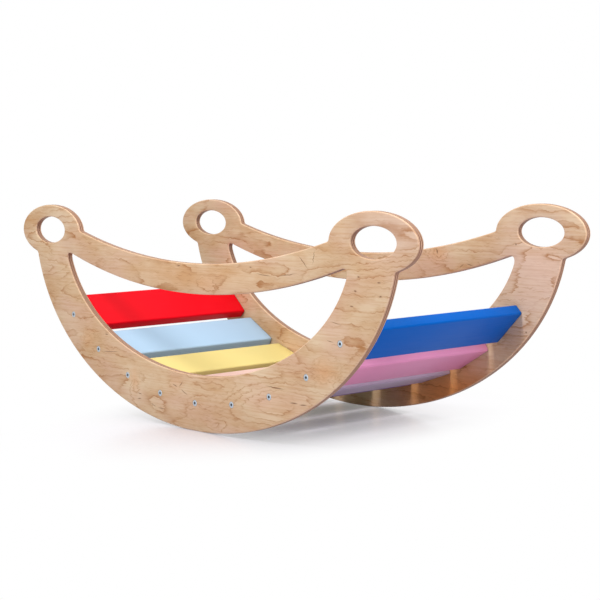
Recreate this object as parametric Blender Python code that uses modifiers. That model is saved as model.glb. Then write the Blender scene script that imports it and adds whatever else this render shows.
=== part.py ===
"""Rocking and climbing arch: two plywood sides with oval ring handles, joined by nine painted slats.

X runs along the length, Y from the front side to the back side and Z up. The origin is on the floor
under the middle, where the rockers touch it.
"""

import math

import bmesh
import bpy
from mathutils import Vector
from mathutils.geometry import interpolate_bezier

MM = 0.001

GAP = 0.3 * MM  # between pieces that touch

# Two sides, cut from 15 mm birch ply, with the slats between them
PLY = 15 * MM
BETWEEN_SIDES = 450 * MM
ROUND_OVER = 3 * MM
ROUND_OVER_STEPS = 2

# Rocker: a crescent between two ellipses, both centred on X = 0
ROCKER_OUTER_RADII = (579 * MM, 415.5 * MM)
ROCKER_INNER_RADII = (462.7 * MM, 287.5 * MM)
ROCKER_DEPTH = 115 * MM  # at the middle, from the floor to the inner edge
ROCKER_STEPS = 41  # odd, so that a short flat at the middle meets the floor
INNER_STEPS = 28

# Crossbar: a sagging band from ring to ring, between two circles
BAR_TOP_HEIGHT = 342.4 * MM
BAR_TOP_RADIUS = 1471 * MM
BAR_FOOT_HEIGHT = 280.2 * MM
BAR_FOOT_RADIUS = 1434 * MM
BAR_STEPS = 14

# Ring handles: an oval with an oval hand hole
RING_CENTRE = (516 * MM, 398 * MM)
RING_RADII = (114 * MM, 57.2 * MM)
RING_STEPS = 22
HAND_HOLE_CENTRE = (518 * MM, 399 * MM)
HAND_HOLE_RADII = (58 * MM, 29.5 * MM)
HAND_HOLE_STEPS = 22

# How far from each corner its easing starts
RING_EASE = 5 * MM
OPENING_EASE = 24 * MM
EASE_STEPS = 4

# Nine slats, spaced evenly along the middle line of the rocker
SLAT_COUNT = 9
SLAT_SPACING = 117.3 * MM
SLAT_WIDTH = 92 * MM
SLAT_THICKNESS = 24 * MM
SLAT_ROUND_OVER = 4 * MM

# One connector screw and one beech dowel hold each slat end
SCREW_HEAD_RADIUS = 6.5 * MM
SCREW_HEAD_RIM = 0.8 * MM
SCREW_HEAD_DEPTH = 3.2 * MM
SCREW_SHANK_RADIUS = 3.25 * MM
SCREW_THREAD_RADIUS = 3.4 * MM
SCREW_TIP_RADIUS = 1.6 * MM
SCREW_LENGTH = 50 * MM
SCREW_TIP_LENGTH = 4 * MM
SCREW_SIDES = 12
SOCKET_ACROSS_FLATS = 5 * MM
SOCKET_DEPTH = 2.6 * MM
DOWEL_RADIUS = 4 * MM
DOWEL_LENGTH = 40 * MM
DOWEL_IN_SIDE = 9 * MM
DOWEL_OFFSET = 26 * MM  # from the screw, along the slat's width
DOWEL_CHAMFER = 1 * MM
DOWEL_SIDES = 10
CUT_PAST = 1 * MM

# Slats from the left end to the right end: name and linear colour
SLATS = (
    ("slat_1_red", (0.82, 0.006, 0.018)),
    ("slat_2_light_blue", (0.50, 0.68, 0.87)),
    ("slat_3_yellow", (0.95, 0.73, 0.20)),
    ("slat_4_pale_pink", (0.83, 0.55, 0.62)),
    ("slat_5_green", (0.27, 0.55, 0.30)),
    ("slat_6_purple", (0.25, 0.13, 0.37)),
    ("slat_7_lilac", (0.33, 0.29, 0.52)),
    ("slat_8_pink", (0.58, 0.13, 0.36)),
    ("slat_9_blue", (0.006, 0.13, 0.55)),
)

PLY_COLOUR = (0.62, 0.41, 0.25)
BEECH_COLOUR = (0.60, 0.38, 0.22)
ZINC_COLOUR = (0.62, 0.66, 0.70)


def clear_scene():
    for thing in list(bpy.data.objects):
        bpy.data.objects.remove(thing, do_unlink=True)


def new_collection(name, parent):
    made = bpy.data.collections.new(name)
    parent.children.link(made)
    return made


def finish(name, colour, roughness, metallic=0.0):
    """A plain Principled material."""
    material = bpy.data.materials.new(name)
    material.use_nodes = True
    shader = material.node_tree.nodes["Principled BSDF"]
    shader.inputs["Base Color"].default_value = (*colour, 1)
    shader.inputs["Roughness"].default_value = roughness
    shader.inputs["Metallic"].default_value = metallic
    return material


def on_ellipse(edge, angle):
    """A point of an ellipse, given as its centre and its two radii."""
    (across, up), (wide, high) = edge
    return Vector((across + wide * math.cos(angle), up + high * math.sin(angle), 0))


def beyond(edge, point):
    """Above 0 outside the ellipse and below 0 inside it."""
    (across, up), (wide, high) = edge
    return ((point.x - across) / wide) ** 2 + ((point.y - up) / high) ** 2 - 1


def crossing(edge, other, low, high):
    """The angle on edge, between low and high, where it passes through the other ellipse."""
    starts_outside = beyond(other, on_ellipse(edge, low)) > 0
    for _ in range(50):
        middle = (low + high) / 2
        if (beyond(other, on_ellipse(edge, middle)) > 0) == starts_outside:
            low = middle
        else:
            high = middle
    return middle


def arc(edge, start, end, steps):
    return [on_ellipse(edge, start + (end - start) * i / steps) for i in range(steps + 1)]


def cut_back(run, reach):
    """A run of points without its last stretch, which lies within reach of its end."""
    corner = run[-1]
    kept = list(run)
    while (kept[-1] - corner).length < reach:
        dropped = kept.pop()
    outer = (kept[-1] - corner).length
    inner = (dropped - corner).length
    kept.append(kept[-1].lerp(dropped, (outer - reach) / (outer - inner)))
    return kept


def eased(first, second, reach):
    """Two runs that meet at a corner, joined with the corner rounded."""
    corner = second[0]
    first = cut_back(first, reach)
    second = cut_back(second[::-1], reach)[::-1]
    bend = interpolate_bezier(
        first[-1],
        first[-1].lerp(corner, 0.62),
        second[0].lerp(corner, 0.62),
        second[0],
        EASE_STEPS + 1,
    )
    return first[:-1] + bend + second[1:]


def closed_outline(half):
    """A half that starts and ends at the middle, mirrored to the other side."""
    mirrored = [Vector((-point.x, point.y, 0)) for point in reversed(half)]
    outline = half + mirrored
    return [point for i, point in enumerate(outline) if (point - outline[i - 1]).length > GAP]


def rocker_edges():
    """Outer edge, inner edge and the middle line between them."""
    half_flat = math.pi / ROCKER_STEPS / 2
    outer_height = ROCKER_OUTER_RADII[1] * math.cos(half_flat)
    outer = ((0, outer_height), ROCKER_OUTER_RADII)
    inner = ((0, ROCKER_DEPTH + ROCKER_INNER_RADII[1]), ROCKER_INNER_RADII)
    middle_radii = [(a + b) / 2 for a, b in zip(ROCKER_OUTER_RADII, ROCKER_INNER_RADII)]
    middle = ((0, (outer[0][1] + inner[0][1]) / 2), middle_radii)
    return outer, inner, middle


def side_outlines():
    """The side's outline, its curved opening and its two hand holes."""
    outer, inner, _ = rocker_edges()
    ring = (RING_CENTRE, RING_RADII)
    bar_top = ((0, BAR_TOP_HEIGHT + BAR_TOP_RADIUS), (BAR_TOP_RADIUS, BAR_TOP_RADIUS))
    bar_foot = ((0, BAR_FOOT_HEIGHT + BAR_FOOT_RADIUS), (BAR_FOOT_RADIUS, BAR_FOOT_RADIUS))
    bottom = -math.pi / 2
    half_flat = math.pi / ROCKER_STEPS / 2

    rocker_end = crossing(outer, ring, -math.pi / 4, 0)
    ring_start = crossing(ring, outer, bottom, 0)
    ring_end = crossing(ring, bar_top, math.pi / 2, 1.4 * math.pi)
    bar_end = crossing(bar_top, ring, bottom, bottom + RING_CENTRE[0] / BAR_TOP_RADIUS)

    rocker = arc(outer, bottom + half_flat, rocker_end, ROCKER_STEPS // 2)
    around_ring = arc(ring, ring_start, ring_end, RING_STEPS)
    along_bar = arc(bar_top, bar_end, bottom, BAR_STEPS // 2)
    half = eased(rocker, around_ring, RING_EASE)
    half = eased(half, along_bar, RING_EASE)

    foot_end = crossing(bar_foot, inner, bottom, bottom + RING_CENTRE[0] / BAR_FOOT_RADIUS)
    inner_end = crossing(inner, bar_foot, bottom, 0)
    sweep = arc(inner, bottom, inner_end, INNER_STEPS // 2)
    under_bar = arc(bar_foot, foot_end, bottom, BAR_STEPS // 2)
    opening = closed_outline(eased(sweep, under_bar, OPENING_EASE))

    holes = []
    for end in (-1, 1):
        centre = (end * HAND_HOLE_CENTRE[0], HAND_HOLE_CENTRE[1])
        holes.append(arc((centre, HAND_HOLE_RADII), 0, 2 * math.pi, HAND_HOLE_STEPS)[:-1])
    return [closed_outline(half), opening, *holes]


def evaluated_mesh(thing, name):
    """The mesh that an object's curve or modifiers give, after which the object is removed."""
    bpy.context.view_layer.update()
    graph = bpy.context.evaluated_depsgraph_get()
    mesh = bpy.data.meshes.new_from_object(thing.evaluated_get(graph))
    mesh.name = name
    bpy.data.objects.remove(thing, do_unlink=True)
    bm = bmesh.new()
    bm.from_mesh(mesh)
    bmesh.ops.remove_doubles(bm, verts=bm.verts, dist=0.01 * MM)
    bm.to_mesh(mesh)
    bm.free()
    return mesh


def side_blank(collection):
    """The side's shape in X and Y, as thick as the ply."""
    curve = bpy.data.curves.new("side_outline", "CURVE")
    curve.dimensions = "2D"
    curve.fill_mode = "BOTH"
    curve.extrude = PLY / 2
    for outline in side_outlines():
        spline = curve.splines.new("POLY")
        spline.points.add(len(outline) - 1)
        for point, place in zip(spline.points, outline):
            point.co = (*place, 1)
        spline.use_cyclic_u = True
    outline = bpy.data.objects.new("side_outline", curve)
    collection.objects.link(outline)
    return evaluated_mesh(outline, "side")


def placed(name, mesh, collection, parent, location, rotation=(0, 0, 0), material=None):
    thing = bpy.data.objects.new(name, mesh)
    collection.objects.link(thing)
    thing.parent = parent
    thing.location = location
    thing.rotation_euler = rotation
    if material:
        mesh.materials.clear()
        mesh.materials.append(material)
    else:
        thing.hide_render = True
        thing.display_type = "WIRE"
    return thing


def cut_with(thing, cutters):
    boolean = thing.modifiers.new(cutters.name, "BOOLEAN")
    boolean.operation = "DIFFERENCE"
    boolean.operand_type = "COLLECTION"
    boolean.collection = cutters
    boolean.solver = "EXACT"


def side(name, mesh, y, collection, parent, cutters, material):
    """One ply side, its face edges rounded over and its screw and dowel holes drilled."""
    thing = placed(name, mesh, collection, parent, (0, y, 0), (math.pi / 2, 0, 0), material)
    rounding = thing.modifiers.new("round_over", "BEVEL")
    rounding.width = ROUND_OVER
    rounding.segments = ROUND_OVER_STEPS
    rounding.limit_method = "ANGLE"
    rounding.angle_limit = math.radians(60)
    cut_with(thing, cutters)
    return thing


def slat_mesh(name):
    """A board along Y whose four long edges are rounded over."""
    bm = bmesh.new()
    bmesh.ops.create_cube(bm, size=1)
    length = BETWEEN_SIDES - 2 * GAP
    bmesh.ops.scale(bm, vec=(SLAT_WIDTH, length, SLAT_THICKNESS), verts=bm.verts)
    long_edges = [edge for edge in bm.edges if edge.calc_length() > length * 0.99]
    bmesh.ops.bevel(
        bm,
        geom=long_edges,
        offset=SLAT_ROUND_OVER,
        segments=3,
        profile=0.5,
        affect="EDGES",
        material=-1,
    )
    mesh = bpy.data.meshes.new(name)
    bm.to_mesh(mesh)
    bm.free()
    return mesh


def turned_mesh(name, profile, sides, collection):
    """A solid turned about Z from radii and heights that run down its outer side."""
    mesh = bpy.data.meshes.new(name)
    points = [(radius, 0, height) for radius, height in profile]
    mesh.from_pydata(points, [(i, i + 1) for i in range(len(points) - 1)], [])
    thing = bpy.data.objects.new(name, mesh)
    collection.objects.link(thing)
    turning = thing.modifiers.new("turning", "SCREW")
    turning.axis = "Z"
    turning.steps = sides
    turning.render_steps = sides
    turning.use_merge_vertices = True
    turning.merge_threshold = 0.01 * MM
    turned = evaluated_mesh(thing, name)
    turned.shade_smooth()
    turned.set_sharp_from_angle(angle=math.radians(35))
    return turned


def screw_profile(spare):
    """Countersunk connector screw, its head's top at height 0, grown by spare on all sides."""
    top = CUT_PAST if spare else 0
    return [
        (0, top),
        (SCREW_HEAD_RADIUS + spare, top),
        (SCREW_HEAD_RADIUS + spare, -SCREW_HEAD_RIM - spare / 2),
        (SCREW_SHANK_RADIUS + spare, -SCREW_HEAD_DEPTH - spare / 2),
        (SCREW_SHANK_RADIUS + spare, -PLY - CUT_PAST),
        (SCREW_THREAD_RADIUS + spare, -PLY - CUT_PAST),
        (SCREW_THREAD_RADIUS + spare, -SCREW_LENGTH + SCREW_TIP_LENGTH),
        (SCREW_TIP_RADIUS + spare, -SCREW_LENGTH - spare),
        (0, -SCREW_LENGTH - spare),
    ]


def screw_mesh(collection, cutters):
    """The screw with a hexagon socket in its head."""
    plain = turned_mesh("plain_screw", screw_profile(0), SCREW_SIDES, collection)
    screw = bpy.data.objects.new("screw_blank", plain)
    collection.objects.link(screw)
    bm = bmesh.new()
    corner_radius = SOCKET_ACROSS_FLATS / 2 / math.cos(math.pi / 6)
    bmesh.ops.create_cone(
        bm,
        cap_ends=True,
        segments=6,
        radius1=corner_radius,
        radius2=corner_radius,
        depth=2 * SOCKET_DEPTH,
    )
    socket_mesh = bpy.data.meshes.new("socket")
    bm.to_mesh(socket_mesh)
    bm.free()
    socket = placed("socket", socket_mesh, cutters, None, (0, 0, 0))
    boolean = screw.modifiers.new("socket", "BOOLEAN")
    boolean.operation = "DIFFERENCE"
    boolean.object = socket
    boolean.solver = "EXACT"
    mesh = evaluated_mesh(screw, "screw")
    bpy.data.objects.remove(socket, do_unlink=True)
    mesh.set_sharp_from_angle(angle=math.radians(35))
    return mesh


def dowel_profile():
    """Chamfered dowel that reaches DOWEL_IN_SIDE into the ply from height 0."""
    bottom = DOWEL_IN_SIDE - DOWEL_LENGTH
    return [
        (0, DOWEL_IN_SIDE),
        (DOWEL_RADIUS - DOWEL_CHAMFER, DOWEL_IN_SIDE),
        (DOWEL_RADIUS, DOWEL_IN_SIDE - DOWEL_CHAMFER),
        (DOWEL_RADIUS, bottom + DOWEL_CHAMFER),
        (DOWEL_RADIUS - DOWEL_CHAMFER, bottom),
        (0, bottom),
    ]


def dowel_hole_profile():
    """The drilled hole round a dowel, in the ply and in the slat's end."""
    top = DOWEL_IN_SIDE + GAP
    bottom = DOWEL_IN_SIDE - DOWEL_LENGTH - GAP
    return [(0, top), (DOWEL_RADIUS + GAP, top), (DOWEL_RADIUS + GAP, bottom), (0, bottom)]


def slat_places():
    """Position and slope of each slat, from the left end to the right end."""
    _, _, line = rocker_edges()
    half_count = SLAT_COUNT // 2
    places = [(on_ellipse(line, -math.pi / 2), 0.0)]
    angle = -math.pi / 2
    last = places[0][0]
    walked = 0.0
    while len(places) <= half_count:
        angle += 0.0001
        here = on_ellipse(line, angle)
        walked += (here - last).length
        last = here
        if walked >= SLAT_SPACING:
            walked = 0.0
            wide, high = line[1]
            slope = math.atan2(high * math.cos(angle), -wide * math.sin(angle))
            places.append((here, slope))
    left = [(Vector((-here.x, here.y, 0)), -slope) for here, slope in reversed(places[1:])]
    return left + places


def build():
    clear_scene()
    scene_collection = bpy.context.scene.collection
    parts = new_collection("climbing_arch", scene_collection)
    cutters = new_collection("cutters", scene_collection)
    cutters.hide_render = True
    end_cutters = {end: new_collection(f"{end}_holes", cutters) for end in ("front", "back")}

    arch = bpy.data.objects.new("arch", None)
    parts.objects.link(arch)

    ply = finish("birch_ply", PLY_COLOUR, 0.45)
    zinc = finish("zinc_plated_steel", ZINC_COLOUR, 0.3, 1.0)
    beech = finish("beech", BEECH_COLOUR, 0.6)

    screw = screw_mesh(parts, cutters)
    dowel = turned_mesh("dowel", dowel_profile(), DOWEL_SIDES, parts)
    screw_hole = turned_mesh("screw_hole", screw_profile(GAP), SCREW_SIDES, cutters)
    dowel_hole = turned_mesh("dowel_hole", dowel_hole_profile(), DOWEL_SIDES, cutters)

    for number, ((name, colour), (place, slope)) in enumerate(zip(SLATS, slat_places()), 1):
        paint = finish(name.split("_", 2)[2] + "_paint", colour, 0.3)
        location = (place.x, 0, place.y)
        slat = placed(name, slat_mesh(name), parts, arch, location, (0, -slope, 0), paint)
        for end, outward in (("front", -1), ("back", 1)):
            turn = (-outward * math.pi / 2, 0, 0)
            face = (0, outward * (BETWEEN_SIDES / 2 + PLY), 0)
            seam = (DOWEL_OFFSET, outward * BETWEEN_SIDES / 2, 0)
            placed(f"screw_{end}_{number}", screw, parts, slat, face, turn, zinc)
            placed(f"dowel_{end}_{number}", dowel, parts, slat, seam, turn, beech)
            placed(f"screw_hole_{end}_{number}", screw_hole, end_cutters[end], slat, face, turn)
            placed(f"dowel_hole_{end}_{number}", dowel_hole, end_cutters[end], slat, seam, turn)
            cut_with(slat, end_cutters[end])

    side_y = BETWEEN_SIDES / 2 + PLY / 2
    blank = side_blank(parts)
    side("front_side", blank, -side_y, parts, arch, end_cutters["front"], ply)
    side("back_side", blank, side_y, parts, arch, end_cutters["back"], ply)


build()
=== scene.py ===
import math

import bmesh
import bpy
from mathutils import Euler, Matrix, Vector


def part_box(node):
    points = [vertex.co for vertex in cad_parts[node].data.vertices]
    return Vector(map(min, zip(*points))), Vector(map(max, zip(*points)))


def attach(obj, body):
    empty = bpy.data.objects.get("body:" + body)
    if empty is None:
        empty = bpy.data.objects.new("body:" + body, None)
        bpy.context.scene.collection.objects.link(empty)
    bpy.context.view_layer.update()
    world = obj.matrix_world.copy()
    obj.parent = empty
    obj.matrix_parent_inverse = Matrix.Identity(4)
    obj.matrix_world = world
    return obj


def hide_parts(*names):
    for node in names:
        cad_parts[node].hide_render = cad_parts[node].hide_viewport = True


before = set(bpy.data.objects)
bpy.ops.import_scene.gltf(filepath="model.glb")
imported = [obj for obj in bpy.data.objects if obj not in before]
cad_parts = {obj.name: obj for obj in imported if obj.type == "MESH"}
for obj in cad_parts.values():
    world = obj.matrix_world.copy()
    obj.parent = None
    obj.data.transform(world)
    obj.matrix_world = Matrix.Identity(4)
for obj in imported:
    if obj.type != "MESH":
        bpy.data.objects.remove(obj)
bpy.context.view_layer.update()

# Camera: a long lens at the front right, a little above the rings, looking slightly down
# along the slats from the front side to the back side.
lens_mm = 93.15
camera_place = (2.4706, -2.1735, 0.5406)
camera_yaw = 0.8375
camera_pitch = -0.0878
camera_roll = 0.0138

camera = bpy.data.objects.new("camera", bpy.data.cameras.new("camera"))
camera.data.lens = lens_mm
camera.data.sensor_width = 36
turn = Euler((math.pi / 2 + camera_pitch, 0, camera_yaw)).to_matrix()
turn = turn @ Matrix.Rotation(-camera_roll, 3, "Z")
camera.matrix_world = Matrix.Translation(camera_place) @ turn.to_4x4()
bpy.context.scene.collection.objects.link(camera)
bpy.context.scene.camera = camera

# Slats: nine birch boards 24 mm thick between the sides, their long edges rounded and painted
# in satin colours before assembly. The front side hides the fifth and the sixth.
mm = 0.001
slat_width = 92 * mm
slat_thickness = 24 * mm
slat_round_over = 4 * mm
end_chamfer = 1.2 * mm
slats = {
    "slat_1_red": ("red", "E8041A"),
    "slat_2_light_blue": ("light_blue", "AAC6DE"),
    "slat_3_yellow": ("yellow", "E6D388"),
    "slat_4_pale_pink": ("pale_pink", "EECABE"),
    "slat_5_green": ("green", "8FC48A"),
    "slat_6_purple": ("purple", "8D6BA8"),
    "slat_7_lilac": ("lilac", "C0AEC4"),
    "slat_8_pink": ("pink", "EA98BE"),
    "slat_9_blue": ("blue", "005CB8"),
}


def linear(code):
    """An sRGB hex colour as linear red, green, blue and alpha."""
    shares = [int(code[i : i + 2], 16) / 255 for i in (0, 2, 4)]
    bent = [share / 12.92 if share <= 0.04045 else ((share + 0.055) / 1.055) ** 2.4 for share in shares]
    return (*bent, 1)


def add(tree, kind, feeds, **settings):
    """Adds a node and gives its output. Each feed is a value or a socket, by name or in order."""
    made = tree.nodes.new("ShaderNode" + kind)
    for name, value in settings.items():
        setattr(made, name, value)
    if isinstance(feeds, dict):
        pairs = [(made.inputs[name], feed) for name, feed in feeds.items()]
    else:
        pairs = zip([socket for socket in made.inputs if socket.enabled], feeds)
    for socket, feed in pairs:
        if isinstance(feed, bpy.types.NodeSocket):
            tree.links.new(feed, socket)
        else:
            socket.default_value = feed
    return next(socket for socket in made.outputs if socket.enabled)


def new_material(name):
    """A node material, its tree, its Principled shader and its Object coordinates."""
    material = bpy.data.materials.new(name)
    material.use_nodes = True
    tree = material.node_tree
    place = tree.nodes.new("ShaderNodeTexCoord").outputs["Object"]
    return material, tree, tree.nodes["Principled BSDF"], place


def finish_piece(name, bm, stand, material, node, sharp_degrees):
    """Puts a modelled shape in its place as a smooth-shaded piece that stands for its solid."""
    bmesh.ops.transform(bm, matrix=stand, verts=bm.verts)
    bmesh.ops.recalc_face_normals(bm, faces=bm.faces)
    mesh = bpy.data.meshes.new(name)
    bm.to_mesh(mesh)
    bm.free()
    mesh.shade_smooth()
    mesh.set_sharp_from_angle(angle=math.radians(sharp_degrees))
    mesh.materials.append(material)
    piece = bpy.data.objects.new(name, mesh)
    bpy.context.scene.collection.objects.link(piece)
    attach(piece, "root")
    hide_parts(node)


def satin_paint(name, code):
    """Brushed satin paint: one even colour with soft clouds, fine ridges along the board, and a
    thin dark line of painted shadow at each end, where the joint between board and side is in shade."""
    paint, tree, shader, place = new_material(f"satin_{name}_paint")
    # A brush leaves ridges under 1 mm wide. They are drawn 3 mm wide and 80 mm long, to show.
    lie = add(tree, "Mapping", {"Vector": place, "Scale": (300, 12, 300)})
    brush = add(tree, "TexNoise", {"Vector": lie, "Scale": 1, "Detail": 3})
    # Clouds about 110 mm across.
    cloud = add(tree, "TexNoise", {"Vector": place, "Scale": 9, "Detail": 2})
    shade = add(tree, "HueSaturation", {"Color": linear(code), "Value": 0.93})
    tone = add(tree, "Mix", [cloud, shade, linear(code)], data_type="RGBA")
    axes = add(tree, "SeparateXYZ", [place]).node.outputs
    along = add(tree, "Math", [axes["Y"]], operation="ABSOLUTE")
    # Painted shadow: the colour darkens to a thin line at each end of the board, where the joint is in
    # shade.
    line_start, line_end = inner_face - 2 * end_chamfer, inner_face - end_chamfer
    painted_joint_shadow = add(tree, "MapRange", [along, line_start, line_end, 0, 0.7])
    tone = add(tree, "Mix", [painted_joint_shadow, tone, linear("2E2A28")], data_type="RGBA")
    tree.links.new(tone, shader.inputs["Base Color"])
    rough = add(tree, "MapRange", [brush, 0, 1, 0.32, 0.48])
    tree.links.new(rough, shader.inputs["Roughness"])
    bump = add(tree, "Bump", {"Height": brush, "Strength": 0.1, "Distance": 0.0004})
    tree.links.new(bump, shader.inputs["Normal"])
    shader.inputs["Specular IOR Level"].default_value = 0.06
    return paint


front_low, front_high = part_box("front_side")
ply = front_high.y - front_low.y
outer_face = -front_low.y
inner_face = -front_high.y
flat_width = slat_width - 2 * slat_round_over
flat_thickness = slat_thickness - 2 * slat_round_over
slope_tries = 60
# A slanted line, along which a board's points, edges and faces all have places of their own.
slant = Vector((1, math.e, math.pi))
screw_places = []
for node, (paint_name, code) in slats.items():
    low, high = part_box(node)
    middle = (low + high) / 2
    # The rounded board's box grows with its slope, which is found by closing in on its height.
    lean = 0
    for _ in range(slope_tries):
        tall = flat_width * math.sin(lean) + flat_thickness * math.cos(lean)
        lean += (high.z - low.z - 2 * slat_round_over - tall) / flat_width
    slope = math.copysign(lean, middle.x)
    screw_places.append((middle.x, middle.z))
    bm = bmesh.new()
    bmesh.ops.create_cube(bm, size=1)
    bmesh.ops.scale(bm, vec=(slat_width, high.y - low.y, slat_thickness), verts=bm.verts)
    long_edges = [edge for edge in bm.edges if edge.calc_length() > 2 * slat_width]
    bmesh.ops.bevel(
        bm, geom=long_edges, offset=slat_round_over, segments=6, profile=0.5, affect="EDGES", material=-1
    )
    ends = [face for face in bm.faces if abs(face.normal.y) > 0.9]
    end_edges = [edge for face in ends for edge in face.edges]
    bmesh.ops.bevel(
        bm, geom=end_edges, offset=end_chamfer, segments=2, profile=0.5, affect="EDGES", material=-1
    )
    # The bevel leaves them in an order that changes from run to run, so they are sorted.
    bm.verts.sort(key=lambda vert: vert.co.dot(slant))
    bm.edges.sort(key=lambda edge: (edge.verts[0].co + edge.verts[1].co).dot(slant))
    bm.faces.sort(key=lambda face: face.calc_center_median().dot(slant))
    stand = Matrix.Translation(middle) @ Matrix.Rotation(-slope, 4, "Y")
    paint = satin_paint(paint_name, code)
    finish_piece(f"{paint_name}_slat", bm, stand, paint, node, 50)

# Plywood sides: two equal rocker sides cut from one 15 mm birch sheet each, with a crossbar,
# two ring handles and rounded edges. The nine screws' holes run through them.
rocker_radii = (579 * mm, 415.5 * mm)
# The solids' rocker stands on a short flat that spans this angle, which lowers its centre.
flat_span = math.pi / 41
rocker_centre = (0, rocker_radii[1] * math.cos(flat_span / 2))
opening_radii = (462.7 * mm, 287.5 * mm)
opening_centre = (0, (115 + 287.5) * mm)
bar_top_radii = (1471 * mm, 1471 * mm)
bar_top_centre = (0, (342.4 + 1471) * mm)
bar_foot_radii = (1434 * mm, 1434 * mm)
bar_foot_centre = (0, (280.2 + 1434) * mm)
ring_radii = (114 * mm, 57.2 * mm)
ring_centre = (516 * mm, 398 * mm)
hand_hole_radii = (58 * mm, 29.5 * mm)
hand_hole_centre = (518 * mm, 399 * mm)
ring_ease = 5 * mm
opening_ease = 24 * mm
ease_pull = 0.62
ease_steps = 8
round_over = 3 * mm
arc_step = 6 * mm
halvings = 40
screw_head_radius = 6.5 * mm
hole_spare = 0.3 * mm


def on_oval(oval, angle):
    """The point at that angle on an oval, which is its centre and its two radii."""
    (across, up), (wide, high) = oval
    return Vector((across + wide * math.cos(angle), up + high * math.sin(angle)))


def outside(oval, point):
    """Whether a point lies outside an oval."""
    (across, up), (wide, high) = oval
    return ((point.x - across) / wide) ** 2 + ((point.y - up) / high) ** 2 > 1


def meets(oval, other, low, high):
    """The angle on one oval, between low and high, at which it crosses the other oval."""
    first = outside(other, on_oval(oval, low))
    for _ in range(halvings):
        middle = (low + high) / 2
        if outside(other, on_oval(oval, middle)) == first:
            low = middle
        else:
            high = middle
    return low


def sweep(oval, start, end):
    """Points along an oval, about one arc_step apart."""
    steps = round(abs(end - start) * max(oval[1]) / arc_step)
    return [on_oval(oval, start + (end - start) * i / steps) for i in range(steps + 1)]


def eased(first, second, reach):
    """Two runs that meet at a corner, joined by a bend that starts reach before the corner."""
    corner = second[0]
    first = [point for point in first if (point - corner).length > reach]
    second = [point for point in second if (point - corner).length > reach]
    start = corner + (first[-1] - corner).normalized() * reach
    end = corner + (second[0] - corner).normalized() * reach
    out, back = start.lerp(corner, ease_pull), end.lerp(corner, ease_pull)
    bend = []
    for t in (i / ease_steps for i in range(ease_steps + 1)):
        near = start * (1 - t) ** 3 + out * 3 * t * (1 - t) ** 2
        bend.append(near + back * 3 * t**2 * (1 - t) + end * t**3)
    return first + bend + second


def whole(half):
    """A half outline from middle to middle and its mirrored half, lying flat on the floor."""
    half = [Vector((point.x, max(point.y, 0))) for point in half]
    other = [Vector((-point.x, point.y)) for point in reversed(half)]
    return half[:-1] + other[:-1]


quarter = math.pi / 2
rocker = (rocker_centre, rocker_radii)
opening = (opening_centre, opening_radii)
bar_top = (bar_top_centre, bar_top_radii)
bar_foot = (bar_foot_centre, bar_foot_radii)
ring = (ring_centre, ring_radii)
# How far the search for a crossing goes: the ring and the opening cross the crossbar's circles
# before bar_end, and the crossbar's top crosses the ring before ring_end.
bar_end = -quarter * 0.77
ring_end = 2.8 * quarter
along_rocker = sweep(rocker, -quarter, meets(rocker, ring, -quarter / 2, 0))
round_ring = sweep(ring, meets(ring, rocker, -quarter, 0), meets(ring, bar_top, quarter, ring_end))
over_bar = sweep(bar_top, meets(bar_top, ring, -quarter, bar_end), -quarter)
along_opening = sweep(opening, -quarter, meets(opening, bar_foot, -quarter, 0))
under_bar = sweep(bar_foot, meets(bar_foot, opening, -quarter, bar_end), -quarter)
outlines = [
    whole(eased(eased(along_rocker, round_ring, ring_ease), over_bar, ring_ease)),
    whole(eased(along_opening, under_bar, opening_ease)),
]
for end in (-1, 1):
    centre = (end * hand_hole_centre[0], hand_hole_centre[1])
    outlines.append(sweep((centre, hand_hole_radii), 0, 4 * quarter)[:-1])

# Varnished rotary-cut birch: a pale warm face with jagged orange contour lines of growth that
# come and go, rosy and creamy patches, and short brown streaks along the grain. The cut edges
# show plies with dark glue lines, light along the grain and brown across it: the real sheet has
# eleven, drawn as seven so that they show. Each arris gets a pale painted highlight.
birch, tree, shader, place = new_material("varnished_birch_ply")
# The lines are jagged: spikes up to 20 mm long along the grain and about 3 mm apart, on bends of
# up to 7 mm that are about 17 mm across.
spike_reach = 20 * mm
bend_reach = 7 * mm
lie = add(tree, "Mapping", {"Vector": place, "Scale": (22, 60, 300)})
spikes = add(tree, "TexNoise", {"Vector": lie, "Scale": 1, "Detail": 3, "Roughness": 0.6})
bends = add(tree, "TexNoise", {"Vector": place, "Scale": 60, "Detail": 2})
spikes = add(tree, "MapRange", [spikes, 0, 1, -spike_reach, spike_reach])
bends = add(tree, "MapRange", [bends, 0, 1, -bend_reach, bend_reach])
shift = add(tree, "CombineXYZ", [spikes, 0, bends])
wavy = add(tree, "VectorMath", [place, shift], operation="ADD")
# Streaks and knots stay nearly straight, with a fifth of that shift.
shift = add(tree, "VectorMath", [shift, (0.2, 0, 0.2)], operation="MULTIPLY")
steady = add(tree, "VectorMath", [place, shift], operation="ADD")
# How deep under a face its marks reach.
mark_depth = 2 * mm


def oval_on_face(lines, face, across, up, half_length, half_width, lean=0):
    """How far a point lies from the middle of an oval on one face: 1 at the oval's edge."""
    feeds = {
        "Vector": lines,
        "Location": (across * mm, face, up * mm),
        "Rotation": (0, -lean, 0),
        "Scale": (half_length * mm, mark_depth, half_width * mm),
    }
    lie = add(tree, "Mapping", feeds, vector_type="TEXTURE")
    return add(tree, "VectorMath", [lie], operation="LENGTH")
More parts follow.
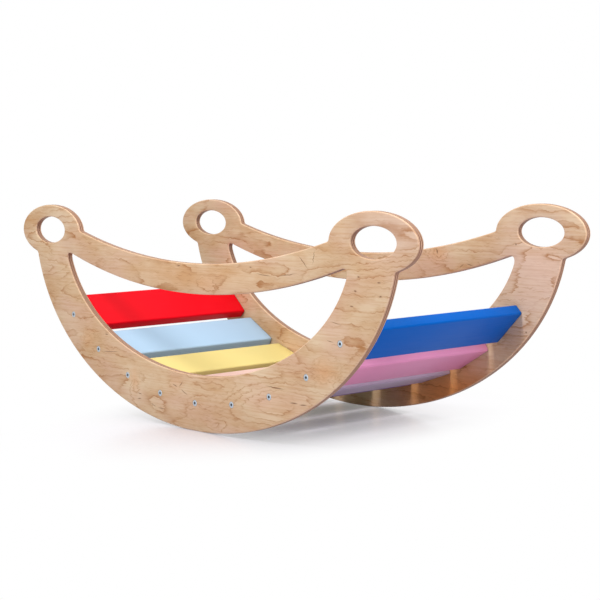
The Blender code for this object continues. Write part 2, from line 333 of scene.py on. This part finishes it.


# Swells in the growth, which the contour lines circle: face, x, z, half length and half width in
# mm, how many lines, and how orange the wood is inside, or below 0 how pale and rosy. Three rows
# are painted light and shade, marked below.
swells = [
    (-outer_face, 245, 76, 200, 60, 3.4, 0.2),
    (-outer_face, 390, 157, 46, 40, 3.4, 0.8),
    (-outer_face, -378, 160, 42, 32, 2.2, 0.5),
    (-outer_face, 62, 20, 60, 18, 1.8, 0.2),
    (-outer_face, -205, 84, 26, 44, 1.6, 0.6),
    (-outer_face, -62, 88, 40, 24, 1.4, 0.3),
    (-outer_face, 60, 50, 170, 60, 0, -0.35),
    (-outer_face, 40, 302, 40, 20, 1.2, 0.3),
    (inner_face, 243, 350, 42, 26, 2.4, 0.6),
    (inner_face, 322, 316, 36, 22, 1.2, 0.2),
    # Painted warm shade: an orange-brown tint low on the back side's inner face, under the slats, where
    # the shade falls.
    (inner_face, 290, 50, 300, 110, 0, 2.4),
    # The next two rows are painted glare: pale rosy patches on the back side's right arm and the front
    # side's right ring, where the light from the right falls. The first also keeps contour lines of
    # growth.
    (inner_face, 520, 300, 200, 240, 1.2, -1.3),
    (-outer_face, 570, 420, 150, 90, 0, -1.4),
    (-outer_face, 10, 310, 420, 60, 0, 0.45),
]
# The growth itself rolls over 590 mm along the grain and 125 mm across it, and is cut into
# contour lines like a map's heights.
contour_lines = 14
lie = add(tree, "Mapping", {"Vector": wavy, "Scale": (1.7, 9, 8)})
feeds = {"Vector": lie, "Scale": 1, "Detail": 2, "Roughness": 0.45, "Distortion": 0.3}
growth = add(tree, "TexNoise", feeds)
growth = add(tree, "Math", [growth, contour_lines], operation="MULTIPLY")
glow = 0
for face, across, up, half_length, half_width, rings, orange in swells:
    reach = oval_on_face(wavy, face, across, up, half_length, half_width)
    swell = add(tree, "MapRange", [reach, 0, 1, 1, 0], interpolation_type="SMOOTHSTEP")
    growth = add(tree, "Math", [swell, rings, growth], operation="MULTIPLY_ADD")
    glow = add(tree, "Math", [swell, orange, glow], operation="MULTIPLY_ADD")
# Each year's wood darkens slowly towards its line and then breaks off.
line_peak = 0.93
year = add(tree, "Math", [growth], operation="FRACT")
rise = add(tree, "MapRange", [year, 0.15, line_peak, 0, 1])
fall = add(tree, "MapRange", [year, line_peak, 1, 1, 0], interpolation_type="SMOOTHSTEP")
band = add(tree, "Math", [rise, fall], operation="MULTIPLY")
band = add(tree, "Math", [band, 4], operation="POWER")
contour = add(tree, "Math", [band, 2], operation="POWER")

# Fibre streaks up to 4 mm wide and 110 mm long, with finer ones among them. Real fibres are too
# fine to show, so these are drawn coarser.
lie = add(tree, "Mapping", {"Vector": place, "Scale": (9, 30, 260)})
fibre = add(tree, "TexNoise", {"Vector": lie, "Scale": 1, "Detail": 4, "Roughness": 0.65})
# Brown dashes 2 mm wide and 20 mm long.
lie = add(tree, "Mapping", {"Vector": wavy, "Scale": (48, 90, 620)})
dash = add(tree, "TexNoise", {"Vector": lie, "Scale": 1, "Detail": 1})
# Creamy and tan patches 140 by 70 mm, rosy ones 170 by 70 mm, and stretches of 90 by 40 mm in
# which the contour lines come and go.
lie = add(tree, "Mapping", {"Vector": wavy, "Scale": (7, 13, 15)})
patch = add(tree, "TexNoise", {"Vector": lie, "Scale": 1, "Detail": 3, "Roughness": 0.6})
lie = add(tree, "Mapping", {"Vector": place, "Scale": (6, 17, 14), "Location": (3, 1, 7)})
rosy = add(tree, "TexNoise", {"Vector": lie, "Scale": 1, "Detail": 2})
lie = add(tree, "Mapping", {"Vector": wavy, "Scale": (11, 17, 26), "Location": (5, 2, 1)})
clear = add(tree, "TexNoise", {"Vector": lie, "Scale": 1, "Detail": 2})

cream = linear("E1C9A8")
tan = linear("CDA77D")
rose = linear("DAB69C")
orange_brown = linear("B87B3C")
deep_brown = linear("A4662C")
patch = add(tree, "MapRange", [patch, 0.34, 0.66, 0, 1])
rosy = add(tree, "MapRange", [rosy, 0.46, 0.68, 0, 0.75])
clear = add(tree, "MapRange", [clear, 0.38, 0.6, 0.15, 1])
tone = add(tree, "Mix", [patch, cream, tan], data_type="RGBA")
tone = add(tree, "Mix", [rosy, tone, rose], data_type="RGBA")
# The orange tint also carries the painted warm shade under the slats.
glow = add(tree, "Math", [glow, 0.45], operation="MULTIPLY")
tone = add(tree, "Mix", [glow, tone, linear("DE9658")], data_type="RGBA")
# The pale rosy blush is partly the wood's own tone and partly painted glare on the right.
blush_and_painted_glare = add(tree, "Math", [glow, -1], operation="MULTIPLY")
tone = add(tree, "Mix", [blush_and_painted_glare, tone, linear("E6CABA")], data_type="RGBA")
streak = add(tree, "MapRange", [fibre, 0.46, 0.74, 0, 0.36])
tone = add(tree, "Mix", [streak, tone, orange_brown], data_type="RGBA")
halo = add(tree, "Math", [band, clear], operation="MULTIPLY")
halo = add(tree, "Math", [halo, 0.2], operation="MULTIPLY")
tone = add(tree, "Mix", [halo, tone, orange_brown], data_type="RGBA")
line = add(tree, "Math", [contour, clear], operation="MULTIPLY")
line = add(tree, "Math", [line, 0.8], operation="MULTIPLY")
tone = add(tree, "Mix", [line, tone, deep_brown], data_type="RGBA")
dash = add(tree, "MapRange", [dash, 0.57, 0.75, 0, 0.6])
dash = add(tree, "Math", [dash, patch], operation="MULTIPLY")
tone = add(tree, "Mix", [dash, tone, deep_brown], data_type="RGBA")

# Dark streaks and pin knots: face, then both ends in x and z, then the width, in mm.
streaks = [
    (-outer_face, (212, 115), (289, 112), 3.6),
    (-outer_face, (286, 89), (318, 89), 4),
    (-outer_face, (314, 87), (345, 89), 3.6),
    (-outer_face, (-313, 177), (-297, 176), 4),
    (-outer_face, (-199, 60), (-177, 57), 3),
    (-outer_face, (-200, 47), (-180, 48), 3),
    (-outer_face, (-151, 43), (-130, 35), 2.4),
    (-outer_face, (-130, 35), (-95, 34), 2.4),
    (-outer_face, (-76, 91), (-52, 84), 3.4),
    (-outer_face, (-52, 84), (-37, 100), 3.4),
    (-outer_face, (-335, 137), (-250, 142), 2.2),
    (-outer_face, (-50, 84), (-17, 69), 2.6),
    (-outer_face, (316, 374), (353, 340), 3),
    (-outer_face, (368, 386), (359, 349), 2.6),
    (-outer_face, (191, 331), (252, 326), 2.4),
    (-outer_face, (252, 326), (328, 337), 2.4),
    (-outer_face, (177, 342), (188, 341), 4),
    (-outer_face, (-52, 336), (-36, 336), 4),
    (-outer_face, (468, 311), (478, 309), 5),
    (-outer_face, (456, 283), (470, 282), 4),
    (-outer_face, (476, 337), (486, 335), 4),
    (-outer_face, (526, 328), (540, 328), 4),
    (-outer_face, (532, 304), (542, 304), 5),
    (-outer_face, (400, 252), (442, 247), 2),
    (-outer_face, (392, 217), (418, 212), 2),
    (inner_face, (239, 360), (243, 344), 6),
    (inner_face, (303, 318), (318, 330), 2.4),
    (inner_face, (318, 330), (346, 325), 2.4),
    (inner_face, (452, 373), (459, 373), 6),
    (inner_face, (478, 198), (485, 198), 6),
]
marks = 0
for face, start, end, width in streaks:
    start, end = Vector(start), Vector(end)
    middle, run = (start + end) / 2, end - start
    lean = math.atan2(run.y, run.x)
    reach = oval_on_face(steady, face, middle.x, middle.y, run.length / 2, width / 2, lean)
    mark = add(tree, "MapRange", [reach, 0.2, 0.9, 1, 0], interpolation_type="SMOOTHSTEP")
    marks = add(tree, "Math", [marks, mark], operation="MAXIMUM")
marks = add(tree, "Math", [marks, 0.8], operation="MULTIPLY")
face_tone = add(tree, "Mix", [marks, tone, linear("70452A")], data_type="RGBA")

# Cut edges: the plies are counted outwards from each side's inner face. Every other one lies
# crosswise, and the first and the last are drawn as part of the faces.
plies = 7
axes = add(tree, "SeparateXYZ", [place]).node.outputs
depth = add(tree, "Math", [axes["Y"]], operation="ABSOLUTE")
depth = add(tree, "Math", [depth, inner_face], operation="SUBTRACT")
layer = add(tree, "Math", [depth, plies / ply], operation="MULTIPLY")
layer_number = add(tree, "Math", [layer], operation="FLOOR")
crosswise = add(tree, "Math", [layer_number, 2], operation="MODULO")
normal = tree.nodes.new("ShaderNodeNewGeometry").outputs["Normal"]
facing = add(tree, "SeparateXYZ", [normal]).node.outputs
upright = add(tree, "Math", [facing["Z"]], operation="ABSOLUTE")
sideways = add(tree, "Math", [facing["X"]], operation="ABSOLUTE")
end_grain = add(tree, "Mix", [crosswise, sideways, upright])
edge_tone = add(tree, "Mix", [end_grain, linear("DCB298"), linear("835B42")], data_type="RGBA")
from_seam = add(tree, "Math", [layer, 0.5], operation="PINGPONG")
glue = add(tree, "MapRange", [from_seam, 0.06, 0.22, 0.65, 0])
edge_tone = add(tree, "Mix", [glue, edge_tone, linear("4C301E")], data_type="RGBA")
from_middle = add(tree, "Math", [layer, plies / 2], operation="SUBTRACT")
from_middle = add(tree, "Math", [from_middle], operation="ABSOLUTE")
in_edge = add(tree, "Math", [from_middle, plies / 2 - 1], operation="LESS_THAN")
colour = add(tree, "Mix", [in_edge, face_tone, edge_tone], data_type="RGBA")
# The arris is where the rounded edge turns from the cut edge to the face. It is painted paler there, a
# painted highlight.
outward = add(tree, "Math", [facing["Y"]], operation="ABSOLUTE")
painted_arris_highlight = add(tree, "MapRange", [outward, 0.35, 0.6, 0, 1])
past = add(tree, "MapRange", [outward, 0.9, 0.99, 1, 0])
painted_arris_highlight = add(tree, "Math", [painted_arris_highlight, past], operation="MULTIPLY")
painted_arris_highlight = add(tree, "Math", [painted_arris_highlight, 0.22], operation="MULTIPLY")
colour = add(tree, "Mix", [painted_arris_highlight, colour, linear("F6D2B8")], data_type="RGBA")
tree.links.new(colour, shader.inputs["Base Color"])
rough = add(tree, "MapRange", [fibre, 0, 1, 0.38, 0.55])
tree.links.new(rough, shader.inputs["Roughness"])
bump = add(tree, "Bump", {"Height": fibre, "Strength": 0.1, "Distance": 0.0003})
tree.links.new(bump, shader.inputs["Normal"])
shader.inputs["Specular IOR Level"].default_value = 0.15


def edges_at(verts):
    """The edges that meet these points, each once and always in the same order."""
    return list(dict.fromkeys(edge for vert in verts for edge in vert.link_edges))


def side_piece(name, node, middle):
    """One ply side: the curve gives its rounded rim, and each face is filled round the holes."""
    curve = bpy.data.curves.new(name, "CURVE")
    curve.dimensions = "2D"
    curve.fill_mode = "BOTH"
    curve.extrude = ply / 2 - round_over
    curve.bevel_depth = round_over
    curve.bevel_resolution = 3
    curve.offset = -round_over
    for outline in outlines:
        spline = curve.splines.new("POLY")
        spline.points.add(len(outline) - 1)
        for point, here in zip(spline.points, outline):
            point.co = (here.x, here.y, 0, 1)
        spline.use_cyclic_u = True
    drawn = bpy.data.objects.new(name, curve)
    bm = bmesh.new()
    bm.from_mesh(drawn.to_mesh())
    bpy.data.objects.remove(drawn)
    bmesh.ops.remove_doubles(bm, verts=bm.verts, dist=0.01 * mm)
    flats = [face for face in bm.faces if abs(face.normal.z) > 0.999]
    bmesh.ops.delete(bm, geom=flats, context="FACES")
    bores = [[] for _ in screw_places]
    for height in (-ply / 2, ply / 2):
        rim = [edge for edge in bm.edges if edge.is_boundary and edge.verts[0].co.z * height > 0]
        for bore, here in zip(bores, screw_places):
            hole = bmesh.ops.create_circle(
                bm,
                segments=32,
                radius=screw_head_radius + hole_spare,
                matrix=Matrix.Translation((*here, height)),
            )
            around = edges_at(hole["verts"])
            bore += around
            rim += around
        bmesh.ops.triangle_fill(bm, edges=rim, use_beauty=True)
    for bore in bores:
        bmesh.ops.bridge_loops(bm, edges=bore)
    stand = Matrix.Translation((0, middle, 0)) @ Matrix.Rotation(quarter, 4, "X")
    finish_piece(name, bm, stand, birch, node, 35)


side_piece("front_ply_side", "front_side", -outer_face + ply / 2)
side_piece("back_ply_side", "back_side", outer_face - ply / 2)

# Screws: zinc-plated connector screws with a hexagon socket, driven flush into the sides
# and on into the slat ends, one at each end of a slat.
screw_length = 50 * mm
shank_radius = 3.25 * mm
tip_radius = 1.6 * mm
head_ease = 0.5 * mm
head_rim = 0.8 * mm
head_depth = 3.2 * mm
tip_length = 4 * mm
socket_across_flats = 5 * mm
socket_depth = 2.6 * mm
# Bright zinc over steel: a pale bluish metal with a slightly uneven sheen, in 1 mm clouds.
zinc, tree, shader, place = new_material("zinc_plated_steel")
cloud = add(tree, "TexNoise", {"Vector": place, "Scale": 900, "Detail": 2})
tone = add(tree, "Mix", [cloud, linear("C9D2DA"), linear("A9B4C0")], data_type="RGBA")
tree.links.new(tone, shader.inputs["Base Color"])
rough = add(tree, "MapRange", [cloud, 0, 1, 0.28, 0.4])
tree.links.new(rough, shader.inputs["Roughness"])
shader.inputs["Metallic"].default_value = 1

# The turned outline from the top of the head to the tip: radius, then height. The head's rim is
# eased in two steps.
screw_profile = [
    (screw_head_radius - head_ease, 0),
    (screw_head_radius - 0.3 * head_ease, -0.3 * head_ease),
    (screw_head_radius, -head_ease),
    (screw_head_radius, -head_rim),
    (shank_radius, -head_depth),
    (shank_radius, tip_length - screw_length),
    (tip_radius, -screw_length),
]


def circle(bm, sides, radius, height):
    """A ring of edges in bm, level at that height."""
    made = bmesh.ops.create_circle(
        bm, segments=sides, radius=radius, matrix=Matrix.Translation((0, 0, height))
    )
    return edges_at(made["verts"])


for number, (across, up) in enumerate(screw_places, 1):
    for end, outward in (("front", -1), ("back", 1)):
        bm = bmesh.new()
        corner_radius = socket_across_flats / 2 / math.cos(math.pi / 6)
        socket_floor = circle(bm, 6, corner_radius, -socket_depth)
        bmesh.ops.contextual_create(bm, geom=socket_floor)
        upper = circle(bm, 6, corner_radius, 0)
        bmesh.ops.bridge_loops(bm, edges=socket_floor + upper)
        for radius, height in screw_profile:
            lower = circle(bm, 24, radius, height)
            bmesh.ops.bridge_loops(bm, edges=upper + lower)
            upper = lower
        bmesh.ops.contextual_create(bm, geom=lower)
        stand = Matrix.Translation((across, outward * outer_face, up))
        stand = stand @ Matrix.Rotation(-outward * quarter, 4, "X")
        finish_piece(f"{end}_screw_{number}", bm, stand, zinc, f"screw_{end}_{number}", 30)

# Dowels: plain beech dowels, glued in beside each screw so that a slat can't turn. They are
# hidden once the arch is together.
beech, tree, shader, place = new_material("bare_beech")
# Bare beech is a dull pinkish tan with short flecks, 1 mm wide and 17 mm along the dowel.
lie = add(tree, "Mapping", {"Vector": place, "Scale": (900, 60, 900)})
fleck = add(tree, "TexNoise", {"Vector": lie, "Scale": 1, "Detail": 2})
tone = add(tree, "Mix", [fleck, linear("D9B48C"), linear("BE9064")], data_type="RGBA")
tree.links.new(tone, shader.inputs["Base Color"])
shader.inputs["Roughness"].default_value = 0.6
for name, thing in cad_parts.items():
    if name.startswith("dowel"):
        thing.data.materials.clear()
        thing.data.materials.append(beech)

# Floor and light: a pale satin studio floor that fades into white round the arch's shadow. The
# lamps are a very large soft one overhead, one high at the front that shines between the slats,
# one at the right for the slats' lower edges, and a weak one low at the front for the sides.
floor_radius = 14
floor_lift = 0.14
fade_reach = (0.45, 0.65, 1)
bm = bmesh.new()
bmesh.ops.create_circle(bm, cap_ends=True, segments=96, radius=floor_radius)
mesh = bpy.data.meshes.new("floor")
bm.to_mesh(mesh)
bm.free()
white, tree, shader, place = new_material("white_floor")
# Satin studio board: a pale grey with a soft sheen, in which the arch shows faintly.
shader.inputs["Base Color"].default_value = linear("C9C4CE")
shader.inputs["Roughness"].default_value = 0.2
shader.inputs["Specular IOR Level"].default_value = 0.4


def seen_directly(tree):
    """1 for what the camera sees, straight or in a reflection or through glass, and else 0."""
    path = tree.nodes.new("ShaderNodeLightPath").outputs
    seen = add(tree, "Math", [path["Is Camera Ray"], path["Is Glossy Ray"]], operation="MAXIMUM")
    return add(tree, "Math", [seen, path["Is Transmission Ray"]], operation="MAXIMUM")


seen = seen_directly(tree)
lift = add(tree, "Math", [seen, floor_lift], operation="MULTIPLY")
tree.links.new(lift, shader.inputs["Emission Strength"])
shader.inputs["Emission Color"].default_value = (1, 1, 1, 1)
glow = add(tree, "Emission", {"Strength": 1})
lie = add(tree, "Mapping", {"Vector": place, "Scale": fade_reach}, vector_type="TEXTURE")
far = add(tree, "VectorMath", [lie], operation="LENGTH")
far = add(tree, "MapRange", [far, 0.2, 1, 0, 1], interpolation_type="SMOOTHSTEP")
far = add(tree, "Math", [far, seen], operation="MULTIPLY")
blend = add(tree, "MixShader", [far, shader.outputs[0], glow])
tree.links.new(blend, tree.nodes["Material Output"].inputs["Surface"])
mesh.materials.append(white)
floor = bpy.data.objects.new("floor", mesh)
bpy.context.scene.collection.objects.link(floor)

room_light = 0.32
world = bpy.data.worlds.new("studio")
world.use_nodes = True
level = add(world.node_tree, "MapRange", [seen_directly(world.node_tree), 0, 1, room_light, 1])
back = world.node_tree.nodes["Background"]
world.node_tree.links.new(level, back.inputs["Strength"])
back.inputs["Color"].default_value = (1, 1, 1, 1)
bpy.context.scene.world = world

# Each lamp's place and size in metres, and its power in watts. All are turned to lamp_target.
lamp_target = Vector((0, 0, 0.15))
lamps = {
    "overhead": ((0.5, 0.3, 2.4), 2.6, 42),
    "high front": ((0.3, -2.0, 2.4), 0.7, 43),
    "low front": ((-0.4, -3.4, 0.9), 1.8, 10),
    "right": ((2.7, 0.1, 1.3), 1.4, 32),
}
for name, (here, size, power) in lamps.items():
    light = bpy.data.lights.new(name, "AREA")
    light.size = size
    light.energy = power
    lamp = bpy.data.objects.new(name, light)
    lamp.location = here
    lamp.rotation_euler = (lamp_target - Vector(here)).to_track_quat("-Z", "Y").to_euler()
    bpy.context.scene.collection.objects.link(lamp)

bpy.context.scene.view_settings.view_transform = "Standard"
